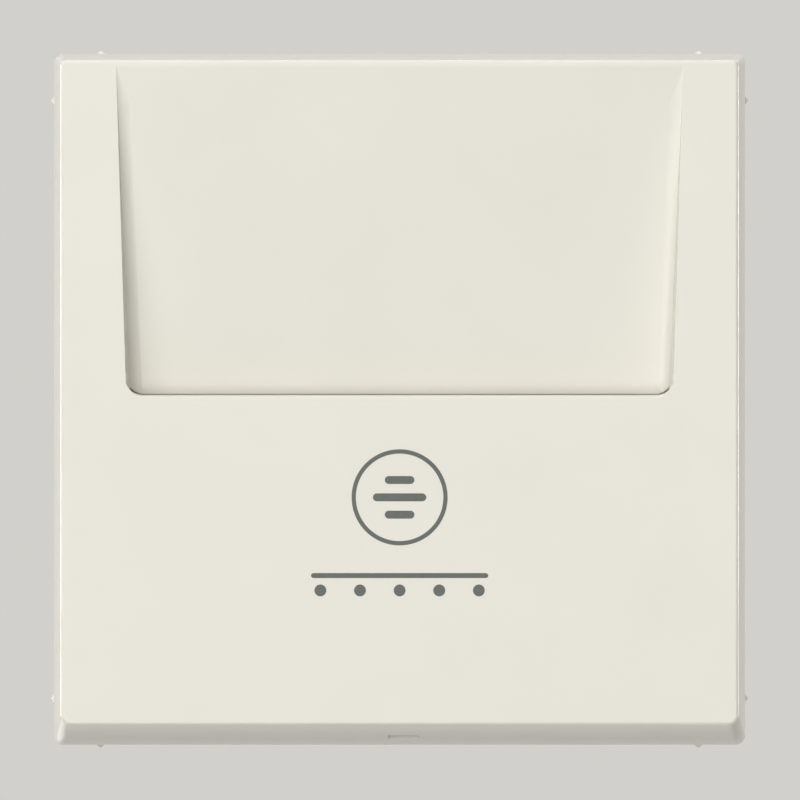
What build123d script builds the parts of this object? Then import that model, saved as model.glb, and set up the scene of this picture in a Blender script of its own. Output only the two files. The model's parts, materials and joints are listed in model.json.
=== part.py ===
from build123d import *

import math
import os

# Hotel key card switch: a square centre plate with a card ramp and slot, a guide and a
# card lever behind it, and the flush-mounted push switch that the lever works.
# Millimetres, X to the right, +Z up, the front towards -Y. The origin is the middle of
# the wall plane, halfway between the two box screws. Heights are counted from the wall
# towards the front, so a height h lies at y = -h, and what is inside the wall box has
# a negative height.

# The access card, by its standard size
card_width = 54.0

# Centre plate, which frames the card on both sides
plate_margin = 8.0
plate_height = 16.0
plate_corner_radius = 1.0
skirt_gap = 1.7
shoulder_height = 9.0
face_inset = 0.79
face_bottom_inset = 2.17
face_corner_radius = 0.45
face_lower_corner_radius = 1.0
wall_curve = 1.8
wall_steps = 4
face_edge_radius = 0.35
shell_wall = 1.7
panel_thickness = 1.8
pip_corner_distance = 4.7
pip_base = 1.2
pip_proud = 0.35
pip_front = 7.6
pip_length = 4.6
release_slot_width = 3.1
release_slot_length = 1.0
release_slot_x = 0.4
release_slot_height = 13.1

# Card ramp sunk in the plate, and the slot at its foot
ramp_top_margin = 1.4
slot_level = 0.42
slot_depth = 3.9
ramp_floor = 1.4
ramp_wall = 1.5
ramp_tail = 1.5
mouth_clearance = 1.64
slot_clearance = 0.63
pocket_corner_radius = 1.8
lip_radius = 0.4
lip_steps = 4
groove_width = 0.26
groove_depth = 0.6
pocket_wall_draft = 8.0
cove_run = 3.6
cove_width = 1.2
cove_height = 0.9
cove_top_share = 0.6
cove_mouth_width = 0.02
cove_mouth_height = 0.005
rib_inner_x = 10.0
rib_outer_inset = 5.0
rib_thickness = 1.2
rib_top = -2.6
rib_foot = 1.2
card_passage = 1.3

# Card guide behind the panel
guide_gap = 0.3
guide_floor = 1.5
guide_wall = 1.6
guide_clearance = 0.4
guide_stop_margin = 6.0
guide_rear_height = 7.5
guide_upper_tab_level = -6.0
guide_lower_tab_rise = 4.0
guide_tab_height = 8.5
guide_tab_thickness = 1.5
guide_tab_width = 4.8
guide_screw_margin = 4.0
guide_screw_radius = 0.8
guide_screw_grip = 2.6
guide_screw_head_radius = 1.7
guide_screw_head_height = 1.2
guide_boss_radius = 1.8

# Card lever: it hangs on its pin behind the guide, and the card pushes its nose back
lever_pivot_level = 2.0
lever_pivot_height = 8.0
lever_pin_radius = 1.0
lever_hub_radius = 2.0
lever_half_width = 8.6
lever_gap = 0.5
lever_thickness = 1.6
lever_end_rise = 4.0
lug_gap = 0.4
lug_thickness = 2.0
lug_radius = 2.2
lug_foot = -8.0
nose_stop_distance = 9.0
nose_reach = 1.8
nose_flat = 1.4
nose_upper_run = 4.3
nose_lower_run = 3.5
nose_half_width = 4.0
nose_window_gap = 0.5
nose_window_run = 1.0
pusher_level = -14.0
pusher_radius = 1.2
pusher_half_width = 5.0
stop_pad_level = -11.0
stop_pad_x = 6.6
stop_pad_size = 1.6

# Switch rocker behind the lever
rocker_lever_gap = 1.1
rocker_pivot_height = 1.8
rocker_thickness = 2.0
rocker_edge_radius = 0.5
rocker_hub_radius = 1.7
rocker_pin_radius = 1.0
rocker_leg_level = -8.0
rocker_leg_thickness = 4.0
rocker_leg_half_width = 2.0
touch_gap = 0.15
running_gap = 0.05

# Flush insert: ring, front cover, base
ring_inset = 1.0
ring_corner = 7.0
ring_thickness = 1.2
ring_opening_gap = 0.4
box_screw_margin = 4.0
box_slot_radius = 1.7
box_slot_length = 6.4
cover_side_overlap = 1.0
cover_corner_radius = 3.0
cover_flange = 2.6
tub_gap = 0.8
tub_screw_distance = 3.0
tub_base_gap = 0.4
tub_wall = 1.2
tub_floor = 1.2
tub_floor_height = -0.3
leg_inset = 3.0
leg_width = 3.0
leg_depth = 2.4
leg_end_height = 1.6
leg_socket_gap = 0.25
insert_screw_inset = 2.5
insert_screw_leg_distance = 6.0
insert_screw_radius = 1.1
insert_screw_head_radius = 2.0
insert_screw_head_height = 1.2
insert_screw_tip_wall = 1.5
insert_boss_radius = 2.2
insert_boss_busbar_gap = 4.0
base_width = 38.0
base_length = 40.0
base_depth = 25.0
base_wall = 1.6
base_floor = 1.8

# Contacts
arm_pivot_level = 11.0
arm_rise = 3.5
arm_half_width = 3.0
arm_thickness = 0.8
arm_tip = 2.2
arm_eye_radius = 1.5
arm_pin_radius = 0.7
contact_level = -12.0
contact_radius = 1.8
contact_head = 1.0
rivet_shank_radius = 0.9
rivet_tail_radius = 1.4
rivet_tail_height = 0.4
contact_gap = 0.95
ear_gap = 0.4
ear_thickness = 1.0
ear_radius = 2.0

# Screwless terminals
busbar_width = 11.2
busbar_depth = 8.5
busbar_thickness = 1.0
busbar_side_gap = 0.2
busbar_half_length = 9.0
busbar_floor_gap = 2.2
busbar_overlap = 1.0
bridge_margin = 2.6
rail_thickness = 1.4
post_size = 1.4
post_length = 3.0
clamp_thickness = 0.4
clamp_half_length = 8.2
clamp_gap = 0.1
clamp_bend_radius = 1.2
clamp_nose_inset = 1.4
clamp_nose_rise = 2.2
clamp_crown_inset = 4.0
wire_hole_radius = 1.45
wire_hole_inset = 2.75
wire_hole_level = 6.0
wire_funnel = 0.5
key_inset = 6.2
key_thickness = 2.4
key_width = 6.0
key_gap = 0.15
key_collar = 0.9
key_collar_height = 0.8
key_tip_rise = 3.8
key_proud = 1.5
key_chamfer = 0.4

# Spreading claws at the sides of the insert
claw_distance = 4.5
claw_screw_radius = 1.5
claw_screw_margin = 2.5
claw_screw_head_radius = 2.6
claw_screw_head_height = 2.0
claw_screw_slot = 0.8
claw_screw_slot_depth = 0.9
nut_start = 3.5
nut_half_width = 2.0
nut_half_length = 3.5
nut_thickness = 3.0
nut_guide_gap = 0.1
trunnion_radius = 1.2
trunnion_gap = 0.1
cheek_gap = 0.3
cheek_thickness = 1.2
cheek_radius = 2.6
claw_blade_gap = 0.3
claw_blade_thickness = 1.5
claw_blade_start = 0.5
claw_blade_length = 11.0
claw_tooth = 0.9
claw_tooth_count = 3
claw_pad_half_width = 3.0
claw_pad_gap = 1.0

# Return spring of the rocker
return_spring_thickness = 0.4
return_spring_x = 6.5
return_spring_width = 4.6
return_spring_root = -3.0
return_spring_bridge = 1.6
return_spring_end_margin = 3.5
return_spring_bend = 1.0

# Every cut runs past the face that it opens by this much
overrun = 1.0

# What follows from the sizes above: the plate and the card's way
plate_size = card_width + 2 * plate_margin
pip_place = plate_size / 2 - pip_corner_distance
ramp_top = plate_size / 2 - ramp_top_margin
panel_rear = plate_height - panel_thickness
ramp_slope = slot_depth / (ramp_top - slot_level)
slot_half_width = card_width / 2 + slot_clearance
mouth_half_width = card_width / 2 + mouth_clearance
channel_half_width = card_width / 2 + guide_clearance
ramp_end = slot_level - ramp_tail
rib_places = (rib_inner_x, card_width / 2 - rib_outer_inset)
guide_top = ramp_end - guide_gap
guide_stop = guide_stop_margin - plate_size / 2
guide_end = guide_stop - guide_wall
guide_half_width = channel_half_width + guide_wall
guide_tab_levels = (guide_upper_tab_level, guide_stop + guide_lower_tab_rise)
guide_screw_x = plate_size / 2 - guide_screw_margin
lever_end = guide_stop + lever_end_rise
nose_level = guide_stop + nose_stop_distance

# The insert: its plan, from the base outwards
ring_size = plate_size - 2 * ring_inset
box_screw_pitch = ring_size - 2 * box_screw_margin
cover_width = base_width + 2 * cover_side_overlap
cover_length = base_length
cover_front = ring_thickness + cover_flange
leg_x = cover_width / 2 - leg_inset
leg_level = cover_length / 2 - leg_inset
insert_screw_x = base_width / 2 - insert_screw_inset
insert_screw_level = leg_level - insert_screw_leg_distance
tub_outer_half_width = insert_screw_x - tub_screw_distance
tub_outer_half_length = base_length / 2 - base_wall - tub_base_gap
tub_half_width = tub_outer_half_width - tub_wall
tub_half_length = tub_outer_half_length - tub_wall
rocker_half_width = tub_half_width - tub_gap
rocker_half_length = tub_half_length - tub_gap
rocker_front = lever_pivot_height - lever_hub_radius - rocker_lever_gap
rocker_rear = rocker_front - rocker_thickness
return_spring_touch = return_spring_end_margin - rocker_half_length
claw_x = base_width / 2 + claw_distance
claw_screw_end = claw_screw_margin - base_depth
nut_height = claw_screw_end + nut_start

# The insert: its contacts and terminals, from the base's floor forwards
base_inner_floor = base_floor - base_depth
busbar_rear_height = base_inner_floor + busbar_floor_gap
busbar_front_height = busbar_rear_height + busbar_depth
busbar_outer_x = base_width / 2 - base_wall - busbar_side_gap
busbar_inner_x = busbar_outer_x - busbar_width
bridge_end_level = arm_pivot_level + bridge_margin
arm_height = busbar_front_height + arm_rise
arm_front = arm_height + arm_thickness / 2
arm_rear = arm_height - arm_thickness / 2
arm_end = contact_level - arm_tip
fixed_contact_front = arm_rear - contact_head - contact_gap
insert_boss_end = busbar_front_height + insert_boss_busbar_gap
insert_screw_end = insert_boss_end + insert_screw_tip_wall
clamp_nose_x = busbar_inner_x + clamp_nose_inset
clamp_nose_height = busbar_rear_height + clamp_nose_rise
clamp_crown_x = busbar_outer_x - clamp_crown_inset
wire_hole_x = busbar_inner_x + wire_hole_inset
key_x = busbar_inner_x + key_inset
key_tip_height = busbar_rear_height + key_tip_rise


def ramp_height(level):
    """Height of the card ramp's surface, and of the guide floor in line with it."""
    return plate_height - ramp_slope * (ramp_top - level)


def guide_rear(level):
    """Height of the rear surface of the guide's floor."""
    return ramp_height(level) - guide_floor


def pocket_half_width(level):
    """Half the width of the card pocket at the front face."""
    share = (level - slot_level) / (ramp_top - slot_level)
    return slot_half_width + share * (mouth_half_width - slot_half_width)


def wall_plane(height):
    """Plane parallel to the wall, seen from the front."""
    return Plane.XZ.offset(height)


def side(height, level):
    """Point of an outline seen from the right, drawn on a plane of constant X."""
    return (-height, level)


def block(x_range, height_range, level_range, mode=Mode.ADD):
    """Box between two X places, two heights and two levels, in the part being built."""
    middle = (sum(x_range) / 2, -sum(height_range) / 2, sum(level_range) / 2)
    size = [abs(ends[1] - ends[0]) for ends in (x_range, height_range, level_range)]
    with Locations(middle):
        Box(*size, mode=mode)


def side_prism(points, x_range, mode=Mode.ADD):
    """Outline seen from the right, run between two X places, in the part being built."""
    with BuildSketch(Plane.YZ.offset(x_range[0])) as outline:
        with BuildLine():
            Polyline(*[side(*point) for point in points], close=True)
        make_face()
    extrude(outline.sketch, amount=x_range[1] - x_range[0], dir=(1, 0, 0), mode=mode)


def cross_rod(radius, height, level, x_range, mode=Mode.ADD):
    """Round bar along X, in the part being built."""
    with BuildSketch(Plane.YZ.offset(x_range[0])) as outline:
        with Locations(side(height, level)):
            Circle(radius)
    extrude(outline.sketch, amount=x_range[1] - x_range[0], dir=(1, 0, 0), mode=mode)


def wall_rod(radius, x, level, height_range, mode=Mode.ADD):
    """Round bar along Y, in the part being built."""
    with BuildSketch(wall_plane(height_range[0])) as outline:
        with Locations((x, level)):
            Circle(radius)
    extrude(outline.sketch, amount=height_range[1] - height_range[0], dir=(0, -1, 0), mode=mode)


# Cutter of the card pocket: three level sections, whose floor turns up into the side
# walls in a cove. Below the slot's edge it passes behind the panel only.
def pocket_section(level, cove, cove_rise):
    depth = plate_height - ramp_height(level)
    draft = math.tan(math.radians(pocket_wall_draft))
    edge = pocket_half_width(level)
    foot = edge - draft * (depth - cove_rise)
    brim = edge + draft * overrun
    floor_half_width = foot - cove
    with BuildSketch(Plane.XY.offset(level)) as section:
        with BuildLine():
            floor_line = Line(
                (-floor_half_width, depth - plate_height),
                (floor_half_width, depth - plate_height),
            )
            TangentArc(
                floor_line @ 1,
                (foot, depth - cove_rise - plate_height),
                tangent=(1, 0),
            )
            Polyline(
                (foot, depth - cove_rise - plate_height),
                (brim, -plate_height - overrun),
                (-brim, -plate_height - overrun),
                (-foot, depth - cove_rise - plate_height),
            )
            TangentArc(
                floor_line @ 0,
                (-foot, depth - cove_rise - plate_height),
                tangent=(-1, 0),
            )
        make_face()
    return section.sketch


cove_level = ramp_top - cove_run
cove_depth = plate_height - ramp_height(cove_level)
pocket_sections = [
    pocket_section(ramp_top, cove_mouth_width, cove_mouth_height),
    pocket_section(cove_level, cove_width, cove_top_share * cove_depth),
    pocket_section(ramp_end - overrun, cove_width, cove_height),
]
opening_half_width = pocket_half_width(slot_level + pocket_corner_radius) + running_gap

with BuildPart() as pocket_cutter:
    loft(pocket_sections, ruled=True)
    with BuildSketch(wall_plane(panel_rear)):
        lip_height = slot_level + pocket_corner_radius - ramp_end + 2 * overrun
        with Locations((0, slot_level + pocket_corner_radius - lip_height / 2)):
            Rectangle(2 * (mouth_half_width + overrun), lip_height)
        with Locations((0, (slot_level + ramp_top) / 2)):
            RectangleRounded(
                2 * opening_half_width,
                ramp_top - slot_level,
                pocket_corner_radius,
                mode=Mode.SUBTRACT,
            )
    extrude(amount=panel_thickness + 2 * overrun, mode=Mode.SUBTRACT)


# Round on the lip's edge, which fades out round the pocket's lower corners
def lip_outline(height, grow):
    """Outline of the pocket's lower end at a height, drawn down past the lip's edge."""
    half_width = pocket_half_width(slot_level + pocket_corner_radius)
    outline_top = slot_level + pocket_corner_radius + lip_radius
    outline_length = outline_top - slot_level + grow
    with BuildSketch(wall_plane(height)) as outline:
        with Locations((0, outline_top - outline_length / 2)):
            Rectangle(2 * half_width, outline_length)
        fillet(outline.vertices().group_by(Axis.Y)[0], pocket_corner_radius + grow)
    return outline.sketch


lip_angles = [step / lip_steps * math.pi / 2 for step in range(lip_steps + 1)]
with BuildPart() as lip_cutter:
    loft(
        [
            lip_outline(
                plate_height - lip_radius + lip_radius * math.sin(angle),
                lip_radius - lip_radius * math.cos(angle),
            )
            for angle in lip_angles
        ]
        + [lip_outline(plate_height + overrun, lip_radius)],
        ruled=True,
    )


# Groove round the ramp's foot, which shows as a thin dark line above the lip
with BuildPart() as groove_cutter:
    groove_half_width = pocket_half_width(slot_level + pocket_corner_radius)
    groove_top = slot_level + pocket_corner_radius + lip_radius
    with BuildSketch(wall_plane(ramp_height(slot_level) - groove_depth)):
        with BuildLine():
            FilletPolyline(
                (-groove_half_width, groove_top),
                (-groove_half_width, slot_level),
                (groove_half_width, slot_level),
                (groove_half_width, groove_top),
                radius=pocket_corner_radius,
            )
        trace(line_width=groove_width)
    extrude(amount=groove_depth + cove_height)


# Centre plate: a tapered shell that carries the ramp, the slot's lip and two legs
def plate_outline(height, wall, upper_radius, lower_radius):
    """Rounded outline of the plate at a height, drawn in by a wall."""
    share = max((height - shoulder_height) / (plate_height - shoulder_height), 0) ** wall_curve
    side_inset = share * face_inset
    bottom_inset = share * face_bottom_inset
    width = plate_size - 2 * side_inset - 2 * wall
    length = plate_size - side_inset - bottom_inset - 2 * wall
    with BuildSketch(wall_plane(height)) as outline:
        with Locations((0, (bottom_inset - side_inset) / 2)):
            Rectangle(width, length)
        fillet(outline.vertices().group_by(Axis.Y)[-1], upper_radius)
        fillet(outline.vertices().group_by(Axis.Y)[0], lower_radius)
    return outline.sketch


def plate_section(share):
    """Outline of the plate at a share of its tapered height."""
    return plate_outline(
        shoulder_height + share * (plate_height - shoulder_height),
        0,
        plate_corner_radius + share * (face_corner_radius - plate_corner_radius),
        plate_corner_radius + share * (face_lower_corner_radius - plate_corner_radius),
    )


with BuildPart() as front_cover:
    extrude(
        plate_outline(skirt_gap, 0, plate_corner_radius, plate_corner_radius),
        amount=shoulder_height - skirt_gap,
    )
    loft([plate_section(step / wall_steps) for step in range(wall_steps + 1)])
    fillet(front_cover.faces().sort_by(Axis.Y)[0].edges(), face_edge_radius)
    with BuildSketch(wall_plane(pip_front - pip_length)):
        with PolarLocations(0, 4):
            with Locations((plate_size / 2, pip_place), (plate_size / 2, -pip_place)):
                Polygon(
                    (-pip_base / 2, -pip_base),
                    (pip_proud, 0),
                    (-pip_base / 2, pip_base),
                    align=None,
                )
    extrude(amount=pip_length)
    extrude(
        plate_outline(skirt_gap, shell_wall, face_corner_radius, face_corner_radius),
        amount=shoulder_height - skirt_gap,
        mode=Mode.SUBTRACT,
    )
    loft(
        [
            plate_outline(shoulder_height, shell_wall, face_corner_radius, face_corner_radius),
            plate_outline(panel_rear, shell_wall, face_corner_radius, face_corner_radius),
        ],
        mode=Mode.SUBTRACT,
    )
    panel_middle = plate_height - panel_thickness / 2
    ramp_tray = (
        (panel_middle, ramp_end),
        (ramp_height(ramp_end) - ramp_floor, ramp_end),
        (plate_height - ramp_floor, ramp_top),
        (panel_middle, ramp_top),
    )
    tray_half_width = mouth_half_width + ramp_wall
    side_prism(ramp_tray, (-tray_half_width, tray_half_width))
    # Ribs behind the panel keep the card against the guide's floor
    rib_end = guide_stop + rib_foot
    card_rib = (
        (panel_middle, rib_top),
        (ramp_height(rib_top) + card_passage, rib_top),
        (ramp_height(rib_end) + card_passage, rib_end),
        (panel_middle, rib_end),
    )
    for rib_x in [sign * place for sign in (-1, 1) for place in rib_places]:
        side_prism(card_rib, (rib_x - rib_thickness / 2, rib_x + rib_thickness / 2))
    for sign in (-1, 1):
        # Upper legs that plug into the switch insert
        block(
            (sign * leg_x - leg_width / 2, sign * leg_x + leg_width / 2),
            (leg_end_height, ramp_height(leg_level) - ramp_floor / 2),
            (leg_level - leg_depth / 2, leg_level + leg_depth / 2),
        )
        # Bosses for the screws of the card guide
        for level in guide_tab_levels:
            tab_front = guide_tab_height + guide_tab_thickness
            wall_rod(guide_boss_radius, sign * guide_screw_x, level, (tab_front, panel_middle))
            wall_rod(
                guide_screw_radius,
                sign * guide_screw_x,
                level,
                (tab_front, tab_front + guide_screw_grip),
                mode=Mode.SUBTRACT,
            )
    add(pocket_cutter.part, mode=Mode.SUBTRACT)
    add(lip_cutter.part, mode=Mode.SUBTRACT)
    add(groove_cutter.part, mode=Mode.SUBTRACT)
    # Slot in the lower wall, where a screwdriver lifts the plate off
    block(
        (release_slot_x - release_slot_width / 2, release_slot_x + release_slot_width / 2),
        (release_slot_height - release_slot_length / 2, release_slot_height + release_slot_length / 2),
        (-plate_size / 2 - overrun, shell_wall + face_bottom_inset - plate_size / 2),
        mode=Mode.SUBTRACT,
    )
front_cover.part.label = "front_cover"


# Card guide: floor, side walls and stop of the card channel, bearing lugs and lower legs
with BuildPart() as card_guide:
    guide_floor_outline = (
        (ramp_height(guide_top), guide_top),
        (guide_rear(guide_top), guide_top),
        (guide_rear(guide_end), guide_end),
        (ramp_height(guide_end), guide_end),
    )
    side_prism(guide_floor_outline, (-guide_half_width, guide_half_width))
    block(
        (-guide_half_width, guide_half_width),
        (guide_rear_height, panel_rear),
        (guide_end, guide_stop),
    )
    lug_inner_x = lever_half_width + lug_gap
    lug_outline = (
        (guide_rear(lug_foot) + guide_floor / 2, lug_foot),
        (guide_rear(guide_top) + guide_floor / 4, guide_top),
        (guide_rear(guide_top) - guide_gap, guide_top),
        (lever_pivot_height + lug_radius, lever_pivot_level),
        (lever_pivot_height - lug_radius, lever_pivot_level),
    )
    for sign in (-1, 1):
        wall_ends = (sign * channel_half_width, sign * guide_half_width)
        block(wall_ends, (guide_rear_height, panel_rear), (guide_end, guide_top))
        lug_ends = sorted((sign * lug_inner_x, sign * (lug_inner_x + lug_thickness)))
        side_prism(lug_outline, lug_ends)
        cross_rod(lug_radius, lever_pivot_height, lever_pivot_level, lug_ends)
        block(
            (sign * leg_x - leg_width / 2, sign * leg_x + leg_width / 2),
            (leg_end_height, guide_rear(-leg_level) + guide_floor / 2),
            (-leg_level - leg_depth / 2, -leg_level + leg_depth / 2),
        )
        for level in guide_tab_levels:
            tab_ends = (sign * channel_half_width, sign * (guide_screw_x + guide_boss_radius))
            tab_front = guide_tab_height + guide_tab_thickness
            block(
                tab_ends,
                (guide_tab_height, tab_front),
                (level - guide_tab_width / 2, level + guide_tab_width / 2),
            )
            wall_rod(
                guide_screw_radius + running_gap,
                sign * guide_screw_x,
                level,
                (guide_tab_height - overrun, tab_front + overrun),
                mode=Mode.SUBTRACT,
            )
    cross_rod(
        lever_pin_radius,
        lever_pivot_height,
        lever_pivot_level,
        (-guide_half_width, guide_half_width),
        mode=Mode.SUBTRACT,
    )
    nose_top = nose_level + nose_flat / 2 + nose_upper_run
    nose_bottom = nose_level - nose_flat / 2 - nose_lower_run
    nose_window = nose_half_width + nose_window_gap
    block(
        (-nose_window, nose_window),
        (guide_rear(nose_bottom) - overrun, ramp_height(nose_top) + overrun),
        (nose_bottom - nose_window_run, nose_top + nose_window_gap),
        mode=Mode.SUBTRACT,
    )
card_guide.part.label = "card_guide"


with BuildPart() as guide_screws:
    for x in (-guide_screw_x, guide_screw_x):
        for level in guide_tab_levels:
            tab_front = guide_tab_height + guide_tab_thickness
            head_rear = guide_tab_height - guide_screw_head_height
            wall_rod(guide_screw_radius, x, level, (guide_tab_height, tab_front + guide_screw_grip))
            wall_rod(guide_screw_head_radius, x, level, (head_rear, guide_tab_height))
guide_screws.part.label = "guide_screws"


with BuildPart() as lever_pin:
    pin_end = lever_half_width + lug_gap + lug_thickness
    cross_rod(lever_pin_radius, lever_pivot_height, lever_pivot_level, (-pin_end, pin_end))
lever_pin.part.label = "lever_pin"


# Card lever: hub, plate, nose towards the card and rounded pusher towards the rocker
def lever_front(level):
    return guide_rear(level) - lever_gap


with BuildPart() as card_lever:
    lever_ends = (-lever_half_width, lever_half_width)
    hub_level = lever_pivot_level - lever_hub_radius / 2
    lever_plate = (
        (lever_front(hub_level), hub_level),
        (lever_front(hub_level) - lever_thickness, hub_level),
        (lever_front(lever_end) - lever_thickness, lever_end),
        (lever_front(lever_end), lever_end),
    )
    side_prism(lever_plate, lever_ends)
    cross_rod(lever_hub_radius, lever_pivot_height, lever_pivot_level, lever_ends)
    nose_tip = ramp_height(nose_level) + nose_reach
    nose_outline = (
        (lever_front(nose_bottom) - lever_thickness / 2, nose_bottom),
        (nose_tip, nose_level - nose_flat / 2),
        (nose_tip, nose_level + nose_flat / 2),
        (lever_front(nose_top) - lever_thickness / 2, nose_top),
    )
    side_prism(nose_outline, (-nose_half_width, nose_half_width))
    pusher_tip = rocker_front + touch_gap
    pusher_ends = (-pusher_half_width, pusher_half_width)
    cross_rod(pusher_radius, pusher_tip + pusher_radius, pusher_level, pusher_ends)
    block(
        pusher_ends,
        (pusher_tip + pusher_radius, lever_front(pusher_level) - lever_thickness / 2),
        (pusher_level - pusher_radius, pusher_level + pusher_radius),
    )
    for pad_x in (-stop_pad_x, stop_pad_x):
        stop_pad = (
            (lever_front(stop_pad_level) - lever_thickness / 2, stop_pad_level),
            (guide_rear(stop_pad_level) - touch_gap, stop_pad_level),
            (guide_rear(stop_pad_level - stop_pad_size) - touch_gap, stop_pad_level - stop_pad_size),
            (lever_front(stop_pad_level) - lever_thickness / 2, stop_pad_level - stop_pad_size),
        )
        side_prism(stop_pad, (pad_x - stop_pad_size / 2, pad_x + stop_pad_size / 2))
    cross_rod(
        lever_pin_radius + running_gap,
        lever_pivot_height,
        lever_pivot_level,
        lever_ends,
        mode=Mode.SUBTRACT,
    )
card_lever.part.label = "card_lever"


# Support ring: the steel plate that the box screws hold against the wall
insert_screw_places = [
    (sign_x * insert_screw_x, sign_z * insert_screw_level) for sign_x in (-1, 1) for sign_z in (-1, 1)
]

with BuildPart() as support_ring:
    with BuildSketch(wall_plane(0)):
        Rectangle(ring_size, ring_size)
        chamfer(vertices(), ring_corner)
        Rectangle(
            2 * (tub_outer_half_width + ring_opening_gap),
            2 * (tub_outer_half_length + ring_opening_gap),
            mode=Mode.SUBTRACT,
        )
        half_pitch = box_screw_pitch / 2
        with Locations((-half_pitch, 0), (half_pitch, 0), (0, -half_pitch), (0, half_pitch)):
            SlotOverall(box_slot_length, 2 * box_slot_radius, mode=Mode.SUBTRACT)
        with Locations(*insert_screw_places):
            Circle(insert_screw_radius + touch_gap, mode=Mode.SUBTRACT)
        with Locations((-claw_x, 0), (claw_x, 0)):
            Circle(claw_screw_radius + touch_gap, mode=Mode.SUBTRACT)
    extrude(amount=ring_thickness)
support_ring.part.label = "support_ring"


# Insert cover: flange on the ring, and a tub through it that carries the rocker's pin
with BuildPart() as insert_cover:
    with BuildSketch(wall_plane(ring_thickness)):
        RectangleRounded(cover_width, cover_length, cover_corner_radius)
        with Locations(*[(x, level) for x in (-leg_x, leg_x) for level in (-leg_level, leg_level)]):
            Rectangle(
                leg_width + 2 * leg_socket_gap,
                leg_depth + 2 * leg_socket_gap,
                mode=Mode.SUBTRACT,
            )
        with Locations(*insert_screw_places):
            Circle(insert_screw_radius + touch_gap, mode=Mode.SUBTRACT)
    extrude(amount=cover_flange)
    for x, level in insert_screw_places:
        wall_rod(
            insert_screw_head_radius + touch_gap,
            x,
            level,
            (cover_front - insert_screw_head_height, cover_front + overrun),
            mode=Mode.SUBTRACT,
        )
    tub_rear = tub_floor_height - tub_floor
    block(
        (-tub_outer_half_width, tub_outer_half_width),
        (tub_rear, cover_front),
        (-tub_outer_half_length, tub_outer_half_length),
    )
    block(
        (-tub_half_width, tub_half_width),
        (tub_floor_height, cover_front + overrun),
        (-tub_half_length, tub_half_length),
        mode=Mode.SUBTRACT,
    )
    leg_slot = rocker_leg_half_width + touch_gap + tub_gap / 2
    block(
        (-leg_slot, leg_slot),
        (tub_rear - overrun, tub_floor_height + overrun),
        (
            rocker_leg_level - rocker_leg_thickness / 2 - tub_gap,
            rocker_leg_level + rocker_leg_thickness / 2 + tub_gap,
        ),
        mode=Mode.SUBTRACT,
    )
    cross_rod(
        rocker_pin_radius,
        rocker_pivot_height,
        0,
        (-tub_outer_half_width - overrun, tub_outer_half_width + overrun),
        mode=Mode.SUBTRACT,
    )
insert_cover.part.label = "insert_cover"


with BuildPart() as insert_screws:
    for x, level in insert_screw_places:
        head_rear = cover_front - insert_screw_head_height
        wall_rod(insert_screw_radius, x, level, (insert_screw_end, head_rear))
        wall_rod(insert_screw_head_radius, x, level, (head_rear, cover_front))
    with BuildSketch(wall_plane(cover_front)):
        with Locations(*insert_screw_places):
            Rectangle(insert_screw_head_radius, insert_screw_radius / 2)
            Rectangle(insert_screw_radius / 2, insert_screw_head_radius)
    extrude(amount=-insert_screw_head_height / 2, mode=Mode.SUBTRACT)
insert_screws.part.label = "insert_screws"


# Rocker: pad for the lever, hub, and the leg that bends the contact arm
with BuildPart() as rocker:
    block(
        (-rocker_half_width, rocker_half_width),
        (rocker_rear, rocker_front),
        (-rocker_half_length, rocker_half_length),
    )
    fillet(rocker.edges().filter_by(Axis.Y), rocker_edge_radius)
    fillet(rocker.faces().sort_by(Axis.Y)[0].edges(), rocker_edge_radius)
    rocker_ends = (-rocker_half_width, rocker_half_width)
    cross_rod(rocker_hub_radius, rocker_pivot_height, 0, rocker_ends)
    block(
        rocker_ends,
        (rocker_pivot_height, rocker_rear + rocker_thickness / 2),
        (-rocker_hub_radius, rocker_hub_radius),
    )
    leg_tip = arm_front + touch_gap
    leg_ends = (-rocker_leg_half_width, rocker_leg_half_width)
    leg_round = rocker_leg_thickness / 2
    block(
        leg_ends,
        (leg_tip + leg_round, rocker_rear + rocker_thickness / 2),
        (rocker_leg_level - leg_round, rocker_leg_level + leg_round),
    )
    cross_rod(leg_round, leg_tip + leg_round, rocker_leg_level, leg_ends)
    cross_rod(
        rocker_pin_radius + running_gap,
        rocker_pivot_height,
        0,
        rocker_ends,
        mode=Mode.SUBTRACT,
    )
rocker.part.label = "rocker"


with BuildPart() as rocker_pin:
    cross_rod(
        rocker_pin_radius,
        rocker_pivot_height,
        0,
        (-tub_outer_half_width, tub_outer_half_width),
    )
rocker_pin.part.label = "rocker_pin"


# Return spring: two leaves on one foot, from the tub's floor to the rocker's lower half
with BuildPart() as return_spring:
    half_leaf = return_spring_thickness / 2
    foot_height = tub_floor_height + half_leaf
    leaf_tip = rocker_rear - touch_gap - half_leaf
    for sign in (-1, 1):
        with BuildSketch(Plane.YZ.offset(sign * return_spring_x)):
            with BuildLine():
                FilletPolyline(
                    side(foot_height, return_spring_root),
                    side(foot_height, return_spring_root - return_spring_bridge),
                    side(leaf_tip, return_spring_touch),
                    side(leaf_tip - half_leaf, return_spring_touch - return_spring_bridge),
                    radius=return_spring_bend,
                )
            trace(line_width=return_spring_thickness)
        extrude(amount=return_spring_width / 2, both=True)
    spring_half_width = return_spring_x + return_spring_width / 2
    block(
        (-spring_half_width, spring_half_width),
        (tub_floor_height, tub_floor_height + return_spring_thickness),
        (return_spring_root - return_spring_bridge / 2, return_spring_root),
    )
return_spring.part.label = "return_spring"


# Insert base: the box behind the ring, with screw bosses, rails for the busbars, holes
# for wires and release keys, and a flat pad on each side that the claw nut runs along
key_half_thickness = key_thickness / 2
nut_inner_x = claw_x - nut_half_width

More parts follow.
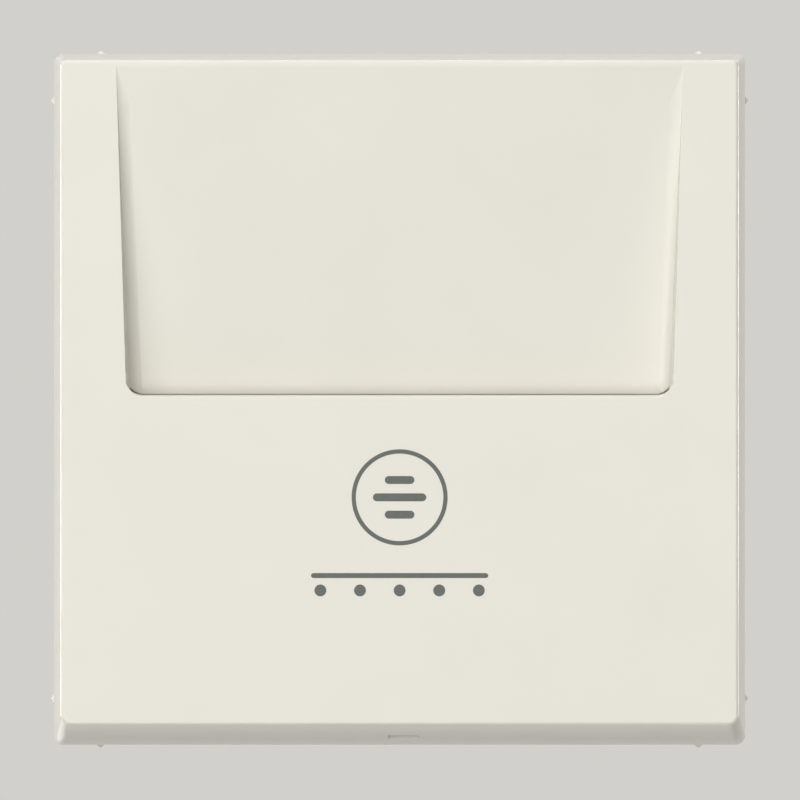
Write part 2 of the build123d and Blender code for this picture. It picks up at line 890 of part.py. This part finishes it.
with BuildPart() as insert_base:
    with BuildSketch(wall_plane(-base_depth)):
        RectangleRounded(base_width, base_length, cover_corner_radius)
    extrude(amount=base_depth)
    with BuildSketch(wall_plane(base_inner_floor)):
        RectangleRounded(
            base_width - 2 * base_wall,
            base_length - 2 * base_wall,
            cover_corner_radius - base_wall,
        )
    extrude(amount=base_depth, mode=Mode.SUBTRACT)
    for x, level in insert_screw_places:
        wall_rod(insert_boss_radius, x, level, (insert_boss_end, 0))
        wall_rod(insert_screw_radius, x, level, (insert_screw_end, overrun), mode=Mode.SUBTRACT)
    rear_rail = (base_inner_floor - base_floor / 2, busbar_rear_height)
    rail_length = (-busbar_half_length, busbar_half_length)
    for sign in (-1, 1):
        inner_rail = sorted((sign * busbar_inner_x, sign * (busbar_inner_x + busbar_thickness)))
        block(inner_rail, rear_rail, rail_length)
        outer_rail = (sign * (busbar_outer_x - rail_thickness), sign * (base_width / 2 - base_wall / 2))
        block(outer_rail, rear_rail, rail_length)
        pad_ends = (sign * (base_width / 2 - base_wall / 2), sign * (nut_inner_x - nut_guide_gap))
        block(
            pad_ends,
            (-base_depth, -claw_pad_gap),
            (-claw_pad_half_width, claw_pad_half_width),
        )
        # Posts under the bridges of the two busbars
        post_level = contact_level if sign > 0 else arm_pivot_level
        post_x = sign * (rivet_tail_radius + post_size)
        block(
            (post_x - post_size / 2, post_x + post_size / 2),
            (rear_rail[0], busbar_front_height - busbar_thickness),
            (post_level - post_length / 2, post_level + post_length / 2),
        )
        # Hole of the release key, and the two wire holes with their funnels
        block(
            (sign * key_x - key_half_thickness - key_gap, sign * key_x + key_half_thickness + key_gap),
            (-base_depth - overrun, base_inner_floor + overrun),
            (-key_width / 2 - key_gap, key_width / 2 + key_gap),
            mode=Mode.SUBTRACT,
        )
        for level in (-wire_hole_level, wire_hole_level):
            wall_rod(
                wire_hole_radius,
                sign * wire_hole_x,
                level,
                (-base_depth - overrun, base_inner_floor + overrun),
                mode=Mode.SUBTRACT,
            )
            with BuildSketch(wall_plane(-base_depth)):
                with Locations((sign * wire_hole_x, level)):
                    Circle(wire_hole_radius + wire_funnel)
            with BuildSketch(wall_plane(wire_funnel - base_depth)):
                with Locations((sign * wire_hole_x, level)):
                    Circle(wire_hole_radius)
            loft(mode=Mode.SUBTRACT)
insert_base.part.label = "insert_base"


# Contact arm on its pin, with the moving contact riveted in its free end
with BuildPart() as contact_arm:
    arm_ends = (-arm_half_width, arm_half_width)
    block(arm_ends, (arm_rear, arm_front), (arm_end, arm_pivot_level))
    cross_rod(arm_eye_radius, arm_height, arm_pivot_level, arm_ends)
    cross_rod(
        arm_pin_radius + running_gap,
        arm_height,
        arm_pivot_level,
        arm_ends,
        mode=Mode.SUBTRACT,
    )
    wall_rod(
        rivet_shank_radius,
        0,
        contact_level,
        (arm_rear - overrun, arm_front + overrun),
        mode=Mode.SUBTRACT,
    )
contact_arm.part.label = "contact_arm"


with BuildPart() as moving_contact:
    wall_rod(contact_radius, 0, contact_level, (arm_rear - contact_head, arm_rear))
    wall_rod(rivet_shank_radius, 0, contact_level, (arm_rear, arm_front))
    wall_rod(rivet_tail_radius, 0, contact_level, (arm_front, arm_front + rivet_tail_height))
moving_contact.part.label = "moving_contact"


with BuildPart() as arm_pin:
    arm_pin_end = arm_half_width + ear_gap + ear_thickness
    cross_rod(arm_pin_radius, arm_height, arm_pivot_level, (-arm_pin_end, arm_pin_end))
arm_pin.part.label = "arm_pin"


# Busbars: each bends into a cage for its clamp spring and sends a bridge to the middle
busbar_rear_face = busbar_front_height - busbar_thickness


def busbar_cage(sign):
    """Front plate and the two side plates of a cage, in the part being built."""
    cage_length = (-busbar_half_length, busbar_half_length)
    front = (busbar_rear_face, busbar_front_height)
    block((sign * busbar_inner_x, sign * busbar_outer_x), front, cage_length)
    for x in (busbar_inner_x, busbar_outer_x - busbar_thickness):
        plate = (sign * x, sign * (x + busbar_thickness))
        block(plate, (busbar_rear_height, busbar_front_height), cage_length)


with BuildPart() as terminal_common:
    busbar_cage(-1)
    ear_outer_x = arm_half_width + ear_gap + ear_thickness
    block(
        (-busbar_outer_x, ear_outer_x),
        (busbar_rear_face, busbar_front_height),
        (busbar_half_length - busbar_overlap, bridge_end_level),
    )
    for sign in (-1, 1):
        ear_ends = sorted((sign * (ear_outer_x - ear_thickness), sign * ear_outer_x))
        block(
            ear_ends,
            (busbar_rear_face, arm_height),
            (arm_pivot_level - ear_radius, arm_pivot_level + ear_radius),
        )
        cross_rod(ear_radius, arm_height, arm_pivot_level, ear_ends)
    cross_rod(
        arm_pin_radius,
        arm_height,
        arm_pivot_level,
        (-ear_outer_x, ear_outer_x),
        mode=Mode.SUBTRACT,
    )
terminal_common.part.label = "terminal_common"


with BuildPart() as terminal_switched:
    busbar_cage(1)
    block(
        (-arm_half_width - ear_gap, busbar_outer_x),
        (busbar_rear_face, busbar_front_height),
        (contact_level - contact_radius - ear_gap, busbar_overlap - busbar_half_length),
    )
    wall_rod(
        rivet_shank_radius,
        0,
        contact_level,
        (busbar_rear_face - overrun, busbar_front_height + overrun),
        mode=Mode.SUBTRACT,
    )
terminal_switched.part.label = "terminal_switched"


with BuildPart() as fixed_contact:
    wall_rod(contact_radius, 0, contact_level, (busbar_front_height, fixed_contact_front))
    wall_rod(rivet_shank_radius, 0, contact_level, (busbar_rear_face, busbar_front_height))
    tail_rear = busbar_rear_face - rivet_tail_height
    wall_rod(rivet_tail_radius, 0, contact_level, (tail_rear, busbar_rear_face))
fixed_contact.part.label = "fixed_contact"


# Clamp spring of a terminal: a bent leaf whose nose presses the wire on the busbar
def clamp_spring(sign):
    half_leaf = clamp_thickness / 2
    back_x = busbar_outer_x - busbar_thickness - clamp_gap - half_leaf
    crown_height = busbar_rear_face - clamp_gap - half_leaf
    with BuildPart() as spring:
        with BuildSketch(Plane.XY.offset(-clamp_half_length)):
            with BuildLine():
                FilletPolyline(
                    (sign * back_x, -busbar_rear_height),
                    (sign * back_x, -crown_height),
                    (sign * clamp_crown_x, -crown_height),
                    (sign * clamp_nose_x, -clamp_nose_height),
                    radius=clamp_bend_radius,
                )
            trace(line_width=clamp_thickness)
        extrude(amount=2 * clamp_half_length)
    return spring


# Release key: a slider in the base's rear wall that pushes the clamp spring open
def release_key(sign):
    half_width = key_width / 2
    inner_end = sign * key_x - key_half_thickness
    outer_end = sign * key_x + key_half_thickness
    collar_rear = base_inner_floor + key_gap
    with BuildPart() as key:
        block((inner_end, outer_end), (-base_depth - key_proud, key_tip_height), (-half_width, half_width))
        chamfer(key.faces().sort_by(Axis.Y)[-1].edges(), key_chamfer)
        block(
            (inner_end - key_collar, outer_end + key_collar),
            (collar_rear, collar_rear + key_collar_height),
            (-half_width - key_collar, half_width + key_collar),
        )
    return key


# Claw parts of one side: the screw behind the plate, its nut, and the claw on the nut
def claw_screw(sign):
    head_front = ring_thickness + claw_screw_head_height
    with BuildPart() as screw:
        wall_rod(claw_screw_radius, sign * claw_x, 0, (claw_screw_end, ring_thickness))
        wall_rod(claw_screw_head_radius, sign * claw_x, 0, (ring_thickness, head_front))
        with BuildSketch(wall_plane(head_front)):
            with Locations((sign * claw_x, 0)):
                Rectangle(claw_screw_head_radius + claw_screw_radius, claw_screw_slot)
                Rectangle(claw_screw_slot, claw_screw_head_radius + claw_screw_radius)
        extrude(amount=-claw_screw_slot_depth, mode=Mode.SUBTRACT)
    return screw


def claw_nut(sign):
    middle = sign * claw_x
    trunnion_end = nut_half_length + cheek_gap + cheek_thickness
    with BuildPart() as nut:
        block(
            (middle - nut_half_width, middle + nut_half_width),
            (nut_height - nut_thickness / 2, nut_height + nut_thickness / 2),
            (-nut_half_length, nut_half_length),
        )
        with BuildSketch(Plane.XY.offset(-trunnion_end)):
            with Locations((middle, -nut_height)):
                Circle(trunnion_radius)
        extrude(amount=2 * trunnion_end)
        bore_ends = (nut_height - nut_thickness, nut_height + nut_thickness)
        wall_rod(claw_screw_radius + running_gap, middle, 0, bore_ends, mode=Mode.SUBTRACT)
    return nut


def claw(sign):
    middle = sign * claw_x
    blade_inner = claw_x + nut_half_width + claw_blade_gap
    blade_outer = blade_inner + claw_blade_thickness
    blade_rear = nut_height + claw_blade_start
    blade_front = nut_height + claw_blade_length
    cheek_inner = nut_half_length + cheek_gap
    cheek_outer = cheek_inner + cheek_thickness
    with BuildPart() as blade:
        block(
            (sign * blade_inner, sign * blade_outer),
            (blade_rear, blade_front),
            (-cheek_outer, cheek_outer),
        )
        tooth_pitch = 2 * claw_tooth
        for tooth in range(claw_tooth_count):
            tooth_front = blade_front - tooth * tooth_pitch
            with BuildSketch(Plane.XY.offset(-cheek_outer)):
                with BuildLine():
                    Polyline(
                        (sign * (blade_outer - claw_tooth), -tooth_front),
                        (sign * (blade_outer + claw_tooth), -tooth_front),
                        (sign * (blade_outer - claw_tooth), tooth_pitch - tooth_front),
                        close=True,
                    )
                make_face()
            extrude(amount=2 * cheek_outer)
        for level in (-cheek_outer, cheek_inner):
            with BuildSketch(Plane.XY.offset(level)):
                with Locations((middle, -nut_height)):
                    Circle(cheek_radius)
                with BuildLine():
                    Polyline(
                        (middle, -nut_height + cheek_radius / 2),
                        (sign * blade_outer, -blade_rear),
                        (sign * blade_outer, -blade_rear - cheek_radius),
                        (middle, -nut_height - cheek_radius),
                        close=True,
                    )
                make_face()
                with Locations((middle, -nut_height)):
                    Circle(trunnion_radius + trunnion_gap, mode=Mode.SUBTRACT)
            extrude(amount=cheek_thickness)
    return blade


pieces = [
    front_cover,
    card_guide,
    guide_screws,
    lever_pin,
    card_lever,
    support_ring,
    insert_cover,
    insert_screws,
    rocker,
    rocker_pin,
    return_spring,
    insert_base,
    contact_arm,
    moving_contact,
    arm_pin,
    terminal_common,
    terminal_switched,
    fixed_contact,
]

for sign, terminal in ((-1, "common"), (1, "switched")):
    for name, make in (("clamp_spring", clamp_spring), ("release_key", release_key)):
        piece = make(sign)
        piece.part.label = f"{name}_{terminal}"
        pieces.append(piece)

for sign, hand in ((-1, "left"), (1, "right")):
    for name, make in (("claw_screw", claw_screw), ("claw_nut", claw_nut), ("claw", claw)):
        piece = make(sign)
        piece.part.label = f"{name}_{hand}"
        pieces.append(piece)

os.makedirs("parts", exist_ok=True)
for piece in pieces:
    export_step(piece.part, f"parts/{piece.part.label}.step")

# How far the pieces travel when a card is in, for the joints of the record
lever_swing = math.degrees(nose_reach / (lever_pivot_level - nose_level))
rocker_share = (lever_pivot_level - pusher_level) / -pusher_level
rocker_swing = rocker_share * lever_swing
print(f"rocker front at height {rocker_front:.2f}, lever swing {lever_swing:.2f} degrees")
print(f"rocker ratio {rocker_share:.4f}, rocker swing {rocker_swing:.2f} degrees")
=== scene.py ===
import json
import math

import bmesh
import bpy
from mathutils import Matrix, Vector


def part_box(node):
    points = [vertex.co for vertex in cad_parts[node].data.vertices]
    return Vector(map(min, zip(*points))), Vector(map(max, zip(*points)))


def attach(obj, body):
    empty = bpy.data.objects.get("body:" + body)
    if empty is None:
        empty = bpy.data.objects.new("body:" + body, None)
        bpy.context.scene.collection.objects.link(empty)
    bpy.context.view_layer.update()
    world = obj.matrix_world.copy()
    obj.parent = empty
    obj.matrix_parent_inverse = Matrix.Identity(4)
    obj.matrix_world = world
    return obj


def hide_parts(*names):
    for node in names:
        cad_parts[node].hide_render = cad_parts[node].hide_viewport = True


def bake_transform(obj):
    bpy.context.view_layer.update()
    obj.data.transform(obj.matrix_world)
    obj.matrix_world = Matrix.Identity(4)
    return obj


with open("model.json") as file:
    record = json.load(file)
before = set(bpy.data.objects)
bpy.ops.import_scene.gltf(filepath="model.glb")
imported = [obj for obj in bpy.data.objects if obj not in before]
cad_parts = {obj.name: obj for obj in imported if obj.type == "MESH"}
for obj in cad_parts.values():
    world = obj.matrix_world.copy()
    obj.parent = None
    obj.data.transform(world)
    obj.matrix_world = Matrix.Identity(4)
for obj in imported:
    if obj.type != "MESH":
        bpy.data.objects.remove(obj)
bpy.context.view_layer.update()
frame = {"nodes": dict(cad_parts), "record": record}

MM = 0.001

# The photograph: square, seen straight from the front from far away
IMAGE_PIXELS = 800
PLATE_PIXELS = 691.0
PLATE_SIZE = 70.0 * MM
PLATE_CENTRE_PIXEL = (399.6, 399.3)
METRES_PER_PIXEL = PLATE_SIZE / PLATE_PIXELS
PLATE_EDGE_Y = -9.0 * MM
LENS = 1000.0
SENSOR = 36.0


# Materials
class Finish:
    """A material under construction: its nodes and links, and its main shader."""

    def __init__(self, name):
        self.material = bpy.data.materials.new(name)
        self.material.use_nodes = True
        self.tree = self.material.node_tree
        self.shader = self.tree.nodes["Principled BSDF"]
        self.place = self.add("ShaderNodeTexCoord").outputs["Object"]

    def add(self, kind, **settings):
        node = self.tree.nodes.new(kind)
        for name, value in settings.items():
            setattr(node, name, value)
        return node

    def link(self, source, target):
        self.tree.links.new(source, target)

    def stretched(self, scale):
        """Object coordinates, scaled along each axis."""
        mapping = self.add("ShaderNodeMapping")
        mapping.inputs["Scale"].default_value = scale
        self.link(self.place, mapping.inputs["Vector"])
        return mapping.outputs["Vector"]

    def noise(self, size, detail=2.0, roughness=0.5, stretch=(1, 1, 1)):
        """Noise from 0 to 1, whose grains are about size metres wide."""
        texture = self.add("ShaderNodeTexNoise")
        texture.inputs["Scale"].default_value = 1 / size
        texture.inputs["Detail"].default_value = detail
        texture.inputs["Roughness"].default_value = roughness
        self.link(self.stretched(stretch), texture.inputs["Vector"])
        return texture.outputs["Fac"]

    def spread(self, value, low, high, source=(0.3, 0.7)):
        """A value brought from its source range to low and high."""
        spread = self.add("ShaderNodeMapRange")
        for name, number in zip(
            ("From Min", "From Max", "To Min", "To Max"), (*source, low, high)
        ):
            spread.inputs[name].default_value = number
        self.link(value, spread.inputs["Value"])
        return spread.outputs["Result"]

    def blend(self, share, first, second):
        """Colour between two others, by a share from 0 to 1."""
        mix = self.add("ShaderNodeMix", data_type="RGBA")
        self.link(share, mix.inputs["Factor"])
        for socket, colour in (("A", first), ("B", second)):
            inputs = [i for i in mix.inputs if i.name == socket and i.type == "RGBA"]
            if isinstance(colour, tuple):
                inputs[0].default_value = (*colour, 1)
            else:
                self.link(colour, inputs[0])
        return [o for o in mix.outputs if o.type == "RGBA"][0]

    def edges(self, low, high):
        """1 on the part's own sharp edges and 0 elsewhere, from the surface's curvature."""
        geometry = self.add("ShaderNodeNewGeometry")
        return self.spread(geometry.outputs["Pointiness"], 0, 1, source=(low, high))

    def bump(self, *layers):
        """Surface relief, from (value, depth in metres) pairs."""
        normal = None
        for value, depth in layers:
            bump = self.add("ShaderNodeBump")
            bump.inputs["Distance"].default_value = depth
            self.link(value, bump.inputs["Height"])
            if normal is not None:
                self.link(normal, bump.inputs["Normal"])
            normal = bump.outputs["Normal"]
        self.link(normal, self.shader.inputs["Normal"])

    def set(self, **values):
        """Values or links on the shader's own sockets, named with underscores."""
        for name, value in values.items():
            socket = self.shader.inputs[name.replace("_", " ")]
            if isinstance(value, bpy.types.NodeSocket):
                self.link(value, socket)
            elif isinstance(value, tuple):
                socket.default_value = (*value, 1)
            else:
                socket.default_value = value


def shade(colour, factor):
    """A colour made darker or lighter, channel by channel."""
    return tuple(channel * factor for channel in colour)


# Curvature at which an edge starts to show, and where it shows fully
EDGE_START = 0.53
PLASTIC_EDGE_FULL = 0.62
STEEL_EDGE_FULL = 0.6
EDGE_WEAR = 0.04
WORN_PLASTIC = (1.0, 1.0, 0.97)


def moulded_plastic(name, colour, roughness, grain, relief):
    """Moulded plastic: faint flow clouds, a fine mould grain, and slightly rubbed edges."""
    finish = Finish(name)
    clouds = finish.spread(finish.noise(14 * MM, detail=3), 0, 1)
    base = finish.blend(clouds, shade(colour, 0.985), shade(colour, 1.01))
    edge = finish.edges(EDGE_START, PLASTIC_EDGE_FULL)
    share = finish.spread(edge, 0, EDGE_WEAR, source=(0, 1))
    finish.set(
        Base_Color=finish.blend(share, base, WORN_PLASTIC),
        Roughness=finish.spread(finish.noise(3 * MM), roughness * 0.88, roughness * 1.12),
        IOR=1.5,
    )
    finish.bump((finish.noise(grain, detail=3), relief), (finish.noise(9 * MM), relief))
    return finish.material


def plated_steel(name, colour, roughness, brush, blotch=6 * MM):
    """Sheet or turned steel: a brushed or drawn grain along one axis over plating blotches."""
    finish = Finish(name)
    plating = finish.spread(finish.noise(blotch, detail=4), 0, 1)
    grain = finish.noise(0.25 * MM, detail=3, stretch=brush)
    edge = finish.edges(EDGE_START, STEEL_EDGE_FULL)
    tone = finish.blend(plating, shade(colour, 0.86), colour)
    finish.set(
        Base_Color=finish.blend(edge, tone, shade(colour, 1.15)),
        Metallic=1.0,
        Roughness=finish.spread(grain, roughness * 0.75, roughness * 1.3),
    )
    finish.bump((grain, 0.006 * MM), (finish.noise(2 * MM), 0.01 * MM))
    return finish.material


def threaded_steel(name, colour, pitch, thread_end):
    """Turned steel screw: a thread behind the wall plane, with painted shade in its valleys,
    and a plain turned head in front.
    """
    finish = Finish(name)
    axes = finish.add("ShaderNodeSeparateXYZ")
    finish.link(finish.place, axes.inputs["Vector"])
    depth = axes.outputs["Y"]
    wave = finish.add("ShaderNodeMath", operation="PINGPONG")
    wave.inputs[1].default_value = pitch / 2
    finish.link(depth, wave.inputs[0])
    thread = finish.spread(wave.outputs["Value"], 0, 1, source=(0, pitch / 2))
    cut = finish.add("ShaderNodeMath", operation="GREATER_THAN")
    cut.inputs[1].default_value = thread_end
    finish.link(depth, cut.inputs[0])
    relief = finish.add("ShaderNodeMath", operation="MULTIPLY")
    finish.link(thread, relief.inputs[0])
    finish.link(cut.outputs["Value"], relief.inputs[1])
    plating = finish.noise(2 * MM, detail=3)
    tone = finish.blend(finish.spread(plating, 0, 1), shade(colour, 0.85), colour)
    # Painted shade: the thread's valleys get a darker colour than its crests; the head in
    # front, which has no thread, gets that darker colour throughout
    valley = finish.spread(relief.outputs["Value"], 0, 1, source=(0, 1))
    finish.set(
        Base_Color=finish.blend(valley, shade(colour, 0.7), tone),
        Metallic=1.0,
        Roughness=finish.spread(plating, 0.22, 0.42),
    )
    finish.bump((relief.outputs["Value"], 0.25 * MM), (finish.noise(0.3 * MM), 0.004 * MM))
    return finish.material


def printed_ink(name, colour):
    """Pad-printed ink: a flat satin colour with slightly uneven cover."""
    finish = Finish(name)
    cover = finish.spread(finish.noise(0.5 * MM, detail=3), 0, 1)
    finish.set(
        Base_Color=finish.blend(cover, shade(colour, 0.94), shade(colour, 1.06)),
        Roughness=finish.spread(finish.noise(0.2 * MM), 0.38, 0.5),
        IOR=1.45,
    )
    finish.bump((finish.noise(0.08 * MM), 0.002 * MM))
    return finish.material


IVORY = (0.80, 0.775, 0.695)
ZINC = (0.56, 0.56, 0.545)

SPRING_STEEL = (0.62, 0.62, 0.62)
BRASS = (0.78, 0.55, 0.24)
SILVER = (0.85, 0.85, 0.83)
THREAD_PITCH = 0.5 * MM
THREAD_END = 0.5 * MM

# Plastics by slot: name, colour, roughness, and the mould grain's width and depth in mm
PLASTICS = {
    "cover_plastic": ("ivory_plastic", IVORY, 0.24, 0.12, 0.0012),
    "guide_plastic": ("off_white_plastic", (0.74, 0.72, 0.65), 0.42, 0.1, 0.003),
    "lever_plastic": ("anthracite_plastic", (0.045, 0.048, 0.052), 0.4, 0.1, 0.003),
    "rocker_plastic": ("light_grey_plastic", (0.6, 0.6, 0.57), 0.38, 0.1, 0.003),
    "insert_plastic": ("dark_grey_plastic", (0.04, 0.04, 0.043), 0.45, 0.15, 0.004),
    "base_plastic": ("pale_grey_plastic", (0.56, 0.56, 0.53), 0.48, 0.15, 0.004),
    "key_plastic": ("orange_plastic", (0.69, 0.11, 0.012), 0.36, 0.1, 0.002),
}

finishes = {
    slot: moulded_plastic(name, colour, roughness, grain * MM, relief * MM)
    for slot, (name, colour, roughness, grain, relief) in PLASTICS.items()
}
finishes["ring_steel"] = plated_steel("zinc_sheet", ZINC, 0.42, (1, 1, 12))
finishes["screw_steel"] = threaded_steel("zinc_screw", ZINC, THREAD_PITCH, THREAD_END)
finishes["spring_steel"] = plated_steel("spring_strip", SPRING_STEEL, 0.22, (12, 1, 1))
finishes["contact_brass"] = plated_steel("rolled_brass", BRASS, 0.3, (1, 1, 10))
finishes["contact_silver"] = plated_steel(
    "silver_rivet", SILVER, 0.2, (1, 1, 1), blotch=1 * MM
)

slot_of = {part["node"]: part["material_slot"] for part in frame["record"]["subparts"]}
for name, node in frame["nodes"].items():
    for slot in node.material_slots:
        slot.material = finishes[slot_of[name]]


# Return spring: a still copy of its mesh, foot in the tub, stands in for the hidden part
spring_node = frame["nodes"]["return_spring"]
spring = bpy.data.objects.new("return_spring_leaves", spring_node.data.copy())
spring.matrix_world = spring_node.matrix_world
bpy.context.collection.objects.link(spring)
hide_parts("return_spring")
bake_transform(spring)


# Print on the plate: a ring with three bars in it, and a ruled line with five dots under it
ink = printed_ink("grey_ink", (0.112, 0.125, 0.108))
face_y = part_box("front_cover")[0][1]
ink_thickness = 0.012 * MM


def printed(name, outlines):
    """A flat print on the plate's face, from closed outlines of (x, z) points."""
    build = bmesh.new()
    for outline in outlines:
        corners = [build.verts.new((x, face_y - ink_thickness, z)) for x, z in outline]
        build.faces.new(corners)
    bmesh.ops.remove_doubles(build, verts=build.verts, dist=0.001 * MM)
    bmesh.ops.recalc_face_normals(build, faces=build.faces)
    mesh = bpy.data.meshes.new(name)
    build.to_mesh(mesh)
    build.free()
    piece = bpy.data.objects.new(name, mesh)
    bpy.context.collection.objects.link(piece)
    mesh.materials.append(ink)
    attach(piece, "root")


def around(centre, radius, turn):
    """Point on a circle at a share of a full turn."""
    angle = 2 * math.pi * turn
    return (centre[0] + radius * math.cos(angle), centre[1] + radius * math.sin(angle))


def ring(centre, outer, inner, count=96):
    """Outlines of the short pieces of a flat ring."""
    return [
        [
            around(centre, outer, step / count),
            around(centre, outer, (step + 1) / count),
            around(centre, inner, (step + 1) / count),
            around(centre, inner, step / count),
        ]
        for step in range(count)
    ]


def disc(centre, radius, count=48):
    """Outline of a round dot."""
    return [around(centre, radius, step / count) for step in range(count)]


def bar(centre, width, height):
    """Outline of a bar with round ends."""
    radius = height / 2
    reach = width / 2 - radius
    right = [around((centre[0] + reach, centre[1]), radius, -0.25 + k / 24) for k in range(13)]
    left = [around((centre[0] - reach, centre[1]), radius, 0.25 + k / 24) for k in range(13)]
    return right + left


SIGN_Z = -9.9 * MM
RULE_Z = -17.8 * MM
DOTS_Z = -19.3 * MM
RING_OUTER = 4.85 * MM
RING_INNER = 4.42 * MM
BAR_STEP = 1.75 * MM
BAR_HEIGHT = 0.8 * MM
SHORT_BAR = 3.0 * MM
LONG_BAR = 5.4 * MM
RULE_LENGTH = 17.9 * MM
RULE_HEIGHT = 0.5 * MM
DOT_RADIUS = 0.6 * MM
DOTS_X = (-8.0 * MM, -4.0 * MM, 0.0, 4.0 * MM, 8.0 * MM)
printed("sign_ring", ring((0, SIGN_Z), RING_OUTER, RING_INNER))
printed(
    "sign_bars",
    [
        bar((0, SIGN_Z + BAR_STEP), SHORT_BAR, BAR_HEIGHT),
        bar((0, SIGN_Z), LONG_BAR, BAR_HEIGHT),
        bar((0, SIGN_Z - BAR_STEP), SHORT_BAR, BAR_HEIGHT),
    ],
)
printed("rule", [bar((0, RULE_Z), RULE_LENGTH, RULE_HEIGHT)])
printed("rule_dots", [disc((x, DOTS_Z), DOT_RADIUS) for x in DOTS_X])


# Floor
FLOOR_SIZE = 12.0
FLOOR_Z = -900 * MM
FLOOR_GREY = (0.35, 0.35, 0.35)
FLOOR_GLOW = 0.57
WARM_WHITE = (1.0, 0.985, 0.94)


def seen_share(add, link):
    """1 for rays from the camera, a polished surface or glass, and 0 for diffuse light."""
    path = add("ShaderNodeLightPath")
    total = path.outputs["Is Camera Ray"]
    for output in ("Is Glossy Ray", "Is Transmission Ray"):
        both = add("ShaderNodeMath", operation="ADD", use_clamp=True)
        link(total, both.inputs[0])
        link(path.outputs[output], both.inputs[1])
        total = both.outputs["Value"]
    return total


def paper(name, colour, glow):
    """Pale paper, part of whose brightness is the same wherever it is seen from above."""
    finish = Finish(name)
    geometry = finish.add("ShaderNodeNewGeometry")
    finish.set(
        Alpha=finish.spread(geometry.outputs["Backfacing"], 1, 0, source=(0, 1)),
        Base_Color=finish.blend(finish.noise(200 * MM), shade(colour, 0.97), colour),
        Roughness=0.9,
        Emission_Color=WARM_WHITE,
        Emission_Strength=finish.spread(
            seen_share(finish.add, finish.link), 0, glow, source=(0, 1)
        ),
    )
    return finish.material


bpy.ops.mesh.primitive_plane_add(size=FLOOR_SIZE, location=(0, 0, FLOOR_Z))
floor = bpy.context.object
floor.name = "floor"
floor.data.materials.append(paper("floor_paper", FLOOR_GREY, FLOOR_GLOW))


# Lights: a broad soft lamp in front from the upper left, weaker ones beside, and a pale world
def lamp(name, direction, distance, size, level):
    """Area lamp, whose level is what a white surface that faces it would render as."""
    data = bpy.data.lights.new(name, "AREA")
    data.shape = "SQUARE"
    data.size = size
    data.energy = level * (math.pi * distance) ** 2
    light = bpy.data.objects.new(name, data)
    light.location = Vector(direction).normalized() * distance
    light.rotation_euler = (-light.location).to_track_quat("-Z", "Y").to_euler()
    light.visible_camera = False
    bpy.context.collection.objects.link(light)


# Lamps: direction from the plate, distance and width in metres, and level
LAMPS = {
    "key_lamp": ((-0.34, -0.92, 0.25), 1.2, 1.6, 1.01),
    "top_lamp": ((-0.08, -0.68, 0.70), 1.2, 0.7, 0.28),
    "low_front_lamp": ((0.0, -0.20, -1.0), 0.85, 0.8, 0.10),
    "low_side_lamp": ((0.0, 0.45, -1.0), 0.9, 0.3, 0.07),
    "left_side_lamp": ((-1.0, 0.45, 0.05), 0.9, 0.3, 0.46),
    "top_side_lamp": ((0.0, 0.45, 1.0), 0.9, 0.3, 0.19),
    "right_side_lamp": ((1.0, 0.45, 0.05), 0.9, 0.2, 0.35),
    "back_lamp": ((0.50, 0.62, 0.70), 1.2, 0.7, 0.21),
    "back_low_lamp": ((-0.50, 0.70, -0.60), 1.2, 0.7, 0.15),
}
for lamp_name, (direction, distance, width, level) in LAMPS.items():
    lamp(lamp_name, direction, distance, width, level)

# Strength of the world as diffuse light, and as the camera and polished surfaces see it
WORLD_LIGHT = 0.15
WORLD_SEEN = 0.64
world = bpy.data.worlds.new("studio")
world.use_nodes = True
world_tree = world.node_tree
background = world_tree.nodes["Background"]
background.inputs["Color"].default_value = (*WARM_WHITE, 1)


def add_to_world(kind, **settings):
    node = world_tree.nodes.new(kind)
    for name, value in settings.items():
        setattr(node, name, value)
    return node


strength = add_to_world("ShaderNodeMapRange")
strength.inputs["To Min"].default_value = WORLD_LIGHT
strength.inputs["To Max"].default_value = WORLD_SEEN
world_tree.links.new(seen_share(add_to_world, world_tree.links.new), strength.inputs["Value"])
world_tree.links.new(strength.outputs["Result"], background.inputs["Strength"])
bpy.context.scene.world = world


# Camera: straight on with a long lens, so that the plate has its size in the photograph
def pixel_place(pixel_x, pixel_y):
    """Place of a pixel of the photograph in the plane of the plate's edge, as (x, z)."""
    return (
        (pixel_x - PLATE_CENTRE_PIXEL[0]) * METRES_PER_PIXEL,
        (PLATE_CENTRE_PIXEL[1] - pixel_y) * METRES_PER_PIXEL,
    )


camera_data = bpy.data.cameras.new("camera")
camera_data.lens = LENS
camera_data.sensor_width = SENSOR
camera = bpy.data.objects.new("camera", camera_data)
middle_x, middle_z = pixel_place(IMAGE_PIXELS / 2, IMAGE_PIXELS / 2)
camera_distance = IMAGE_PIXELS * METRES_PER_PIXEL * LENS / SENSOR
camera.location = (middle_x, PLATE_EDGE_Y - camera_distance, middle_z)
camera.rotation_euler = (math.radians(90), 0, 0)
bpy.context.collection.objects.link(camera)
bpy.context.scene.camera = camera
bpy.context.scene.view_settings.view_transform = "Standard"
